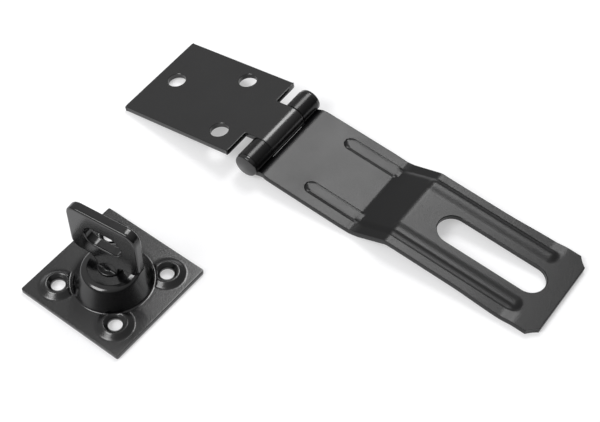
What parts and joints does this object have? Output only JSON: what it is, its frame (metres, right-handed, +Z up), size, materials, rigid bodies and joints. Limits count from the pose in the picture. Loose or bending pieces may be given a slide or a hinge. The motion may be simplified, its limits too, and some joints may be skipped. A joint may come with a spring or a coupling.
{
  "type": "swivel safety hasp",
  "caption": "Black hinged safety hasp: slotted strap with a raised end rolled over a hinge pin, and a screw-on base plate with a cone and a turning padlock eye.",
  "frame": {"origin": "centre of the bounding box in plan, at the level of the bench that both halves lie on", "axes": "+X along the strap from the hinge to the slotted end, +Y along the hinge pin, +Z up"},
  "size_m": [0.1776, 0.1274, 0.0366],
  "materials": {
    "leaf_black": "satin powder coat",
    "strap_black": "semi-gloss powder coat",
    "pin_black": "gloss powder coat",
    "base_black": "semi-gloss powder coat",
    "eye_black": "gloss powder coat"
  },
  "bodies": {
    "fixed_halves": {"hinge_leaf": "leaf_black", "staple_base": "base_black"},
    "strap": {"hasp_strap": "strap_black", "hinge_pin": "pin_black"},
    "eye": {"swivel_eye": "eye_black", "eye_washer": "base_black"}
  },
  "joints": [
    {"name": "strap_hinge", "type": "hinge", "parent": "fixed_halves", "child": "strap", "pos_m": [-0.03155, 0.04312, 0.00674], "axis": [0, 1, 0], "range_deg": [-100, 165]},
    {"name": "eye_swivel", "type": "hinge", "parent": "fixed_halves", "child": "eye", "pos_m": [-0.04055, -0.04068, 0.0098], "axis": [0, 0, 1], "continuous": true}
  ]
}
